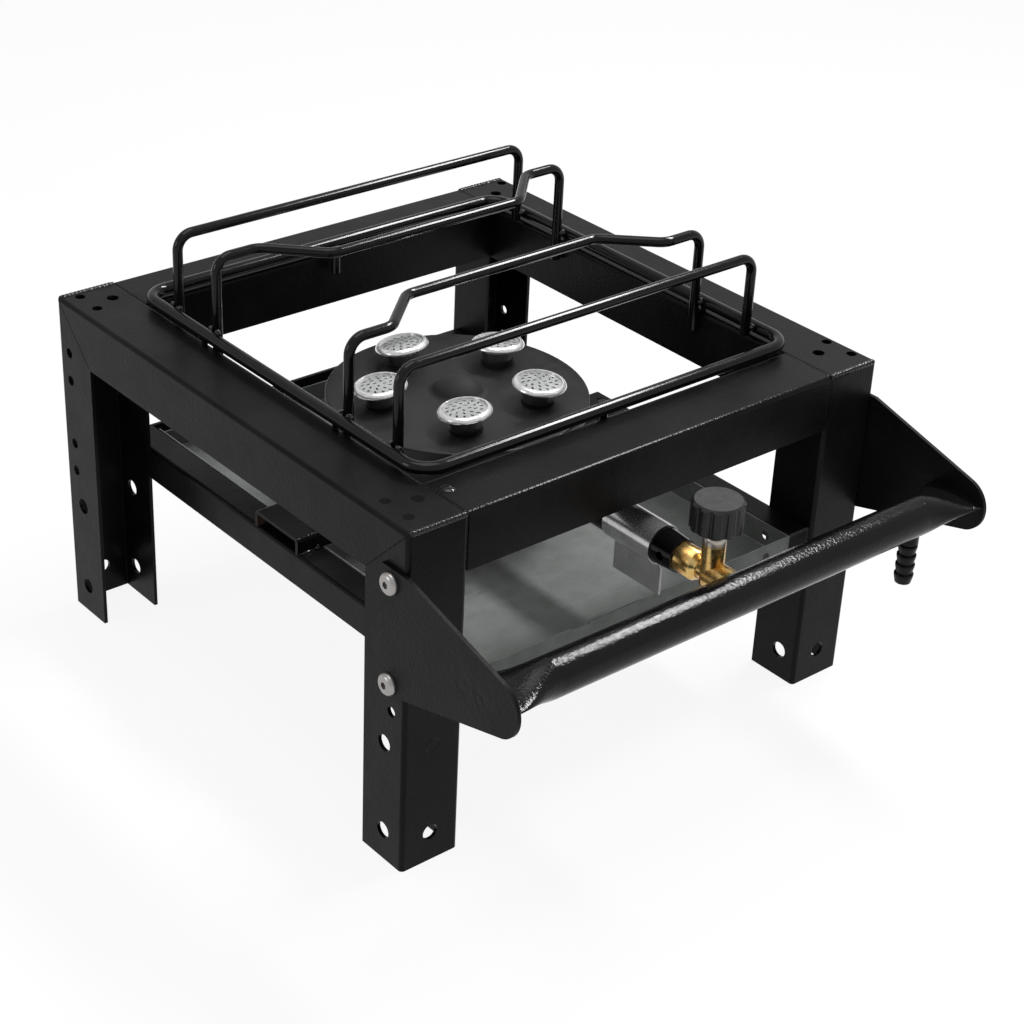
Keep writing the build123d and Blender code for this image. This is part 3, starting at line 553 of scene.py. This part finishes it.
# The packing nut, with a shoulder that rounds off towards the dished seat of the stem
low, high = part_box("packing_nut")
radius = (high.x - low.x) / 2
shoulder = [
    (0.0035 + 0.0042 * sin(a), radius - 0.0022 * (1 - cos(a)))
    for a in (0.0, 0.3, 0.6, 0.9, 1.2, 1.5)
]
seat = [(0.0078, 0.0058), (0.0072, 0.0050), (0.0050, 0.0048), (0.0050, 0.0038)]
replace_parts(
    turned(
        "packing_shoulder",
        "nickel",
        ((low.x + high.x) / 2, (low.y + high.y) / 2, low.z),
        (0, 0, 1),
        [(0.0, radius), *shoulder, *seat],
    ),
    "packing_nut",
)


# ---------------------------------------------------------------- painted joints of the frame
def painted_bead(name, look, start, end, radius):
    """A thin painted bead along a joint, its thickness wandering a little."""
    steps, taper = 80, 6
    work = bmesh.new()
    turn = (end - start).to_track_quat("Z", "Y")
    rings = []
    for k in range(steps + 1):
        wander = 1 + 0.1 * sin(1.1 * k) + 0.07 * sin(2.7 * k + 2)
        size = radius * wander * min(1.0, 0.5 + k / taper, 0.5 + (steps - k) / taper)
        points = circle(start.lerp(end, k / steps), turn, size, 12)
        rings.append([work.verts.new(point) for point in points])
    skin(work, rings)
    add_piece(name, work, look)


def seam(name, start, end, out):
    """A thin, unevenly filled joint line on a side face that faces the X direction out."""
    steps, half_width, crown = 60, 0.00036, 0.00009
    work = bmesh.new()
    across = Vector((out, 0, 0)).cross(end - start).normalized()
    rows = []
    for k in range(steps + 1):
        wander = 1 + 0.3 * sin(0.9 * k) + 0.25 * sin(2.3 * k + 1)
        side = across * half_width * wander * min(1.0, 0.4 + k / 18)
        place = start.lerp(end, k / steps)
        points = (place - side, place + Vector((out * crown, 0, 0)), place + side)
        rows.append([work.verts.new(point) for point in points])
    for first, second in zip(rows, rows[1:]):
        for k in (0, 1):
            work.faces.new((first[k], first[k + 1], second[k + 1], second[k]))
    bmesh.ops.recalc_face_normals(work, faces=work.faces)
    add_piece(name, work, "seam")


# Distances out from the middle of the range to the side rails' faces, and the frame's top
low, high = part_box("side_rail_left")
inner, outer, end_face, top = -high.x, -low.x, high.y, high.z
CORNER_BEAD, JOINT_BEAD = 0.0023, 0.0015  # radii
in_gap = inner + 0.001  # the fold of the side rail leaves a gap beside the front rail's end
for side, out in (("left", -1), ("right", 1)):
    # The bead at the back stays under the rail's outer face, which is where the CAD box ends.
    for end, step, inset in (("front", -1, 0.0011), ("back", 1, 0.0028)):
        edge_y, edge_z = step * (end_face - inset), top - 0.0011
        painted_bead(
            f"corner_bead_{side}_{end}",
            "corner",
            Vector((out * (inner + 0.001), edge_y, edge_z)),
            Vector((out * (outer - 0.002), edge_y, edge_z)),
            CORNER_BEAD,
        )
        joint_z = top - 0.0014
        painted_bead(
            f"joint_top_{side}_{end}",
            "frame",
            Vector((out * in_gap, step * inner, joint_z)),
            Vector((out * in_gap, step * (end_face - 0.002), joint_z)),
            JOINT_BEAD,
        )
        joint_y = step * (end_face - 0.0018)
        painted_bead(
            f"joint_face_{side}_{end}",
            "frame",
            Vector((out * in_gap, joint_y, rail_low.z + 0.0003)),
            Vector((out * in_gap, joint_y, top - 0.002)),
            JOINT_BEAD,
        )

# The mitre lines between legs and side rails run down and inwards from the top corners.
near, far = 0.0022, 0.0468  # from the corner to the ends of the line, along Y and along Z
for side, out in (("left", -1), ("right", 1)):
    seam_x = out * (outer + 0.00003)
    for end, step in (("front", -1), ("back", 1)):
        seam(
            f"seam_{side}_{end}",
            Vector((seam_x, step * (end_face - far), top - far)),
            Vector((seam_x, step * (end_face - near), top - near)),
            out,
        )


# ---------------------------------------------------------------- floor and surroundings
def seen_rays(tree):
    """1 for camera, glossy and transmission rays, 0 for the rest."""
    rays = tree.nodes.new("ShaderNodeLightPath")
    total = rays.outputs["Is Camera Ray"]
    for kind in ("Is Glossy Ray", "Is Transmission Ray"):
        either = tree.nodes.new("ShaderNodeMath")
        either.operation = "MAXIMUM"
        tree.links.new(total, either.inputs[0])
        tree.links.new(rays.outputs[kind], either.inputs[1])
        total = either.outputs[0]
    return total


# A pale floor that mostly glows white where it is seen, and still takes the shadow
FLOOR_REACH = 60.0
corners = [(-1, -1), (1, -1), (1, 1), (-1, 1)]
floor_mesh = bpy.data.meshes.new("floor")
floor_mesh.from_pydata([(FLOOR_REACH * x, FLOOR_REACH * y, 0) for x, y in corners], [], [range(4)])
floor = bpy.data.objects.new("floor", floor_mesh)
scene.collection.objects.link(floor)
paper = Shader("floor_paper", (0.9, 0.9, 0.9), roughness=0.95, specular=0.0)
glow = paper.add("ShaderNodeEmission")
glow.inputs["Color"].default_value = (1, 1, 1, 1)
blend = paper.add("ShaderNodeMixShader")
paper.join(paper.math("MULTIPLY", seen_rays(paper.tree), 0.9), blend.inputs[0])
paper.join(paper.shader.outputs[0], blend.inputs[1])
paper.join(glow.outputs[0], blend.inputs[2])
paper.join(blend.outputs[0], paper.tree.nodes["Material Output"].inputs["Surface"])
floor_mesh.materials.append(paper.material)

# A world that is white to the camera, pale in reflections and dim as a light
world = bpy.data.worlds.new("studio")
scene.world = world
world.use_nodes = True
sky = world.node_tree
backdrop = sky.nodes["Background"]
backdrop.inputs["Color"].default_value = (1, 1, 1, 1)
reflected = sky.nodes.new("ShaderNodeMapRange")
reflected.inputs["To Min"].default_value = 0.3
reflected.inputs["To Max"].default_value = 0.75
sky.links.new(seen_rays(sky), reflected.inputs["Value"])
level = sky.nodes.new("ShaderNodeMath")
level.operation = "MAXIMUM"
sky.links.new(reflected.outputs["Result"], level.inputs[0])
camera_rays = sky.nodes.new("ShaderNodeLightPath").outputs["Is Camera Ray"]
sky.links.new(camera_rays, level.inputs[1])
sky.links.new(level.outputs[0], backdrop.inputs["Strength"])


# ---------------------------------------------------------------- lights
def softbox(name, place, width, height, power):
    """A rectangular light that looks at the middle of the range."""
    light = bpy.data.lights.new(name, "AREA")
    light.shape = "RECTANGLE"
    light.size = width
    light.size_y = height
    light.energy = power
    holder = bpy.data.objects.new(name, light)
    holder.location = place
    holder.rotation_mode = "QUATERNION"
    away = Vector(place) - Vector((0, 0, 0.2))
    holder.rotation_quaternion = away.to_track_quat("Z", "Y")
    scene.collection.objects.link(holder)


# The key is a narrow strip, which gives the thin bright lines along rods, folds and the tube.
softbox("softbox_key", (1.15, -0.1, 1.85), 1.1, 0.23, 41.0)
softbox("softbox_top", (-0.1, 0.0, 2.3), 1.5, 1.5, 18.0)
softbox("softbox_left", (-2.2, 0.6, 1.0), 0.8, 0.8, 8.0)

# ---------------------------------------------------------------- camera, as in the photograph
azimuth, elevation, roll = radians(40.945), radians(30.283), radians(2.672)
ahead = Vector(
    (cos(elevation) * sin(azimuth), cos(elevation) * cos(azimuth), -sin(elevation))
)
right = ahead.cross(Vector((0, 0, 1))).normalized()
up = right.cross(ahead)
tilted_right = cos(roll) * right + sin(roll) * up
tilted_up = -sin(roll) * right + cos(roll) * up
turn = Matrix((tilted_right, tilted_up, -ahead)).transposed()
camera_data = bpy.data.cameras.new("camera")
camera_data.sensor_width = 36.0
camera_data.lens = 78.53
camera_data.shift_x = 0.0097
camera_data.shift_y = 0.0142
camera_data.clip_end = 200.0
camera = bpy.data.objects.new("camera", camera_data)
camera.matrix_world = Matrix.Translation((-1.0117, -1.2248, 1.0327)) @ turn.to_4x4()
scene.collection.objects.link(camera)
scene.camera = camera
scene.view_settings.view_transform = "Standard"
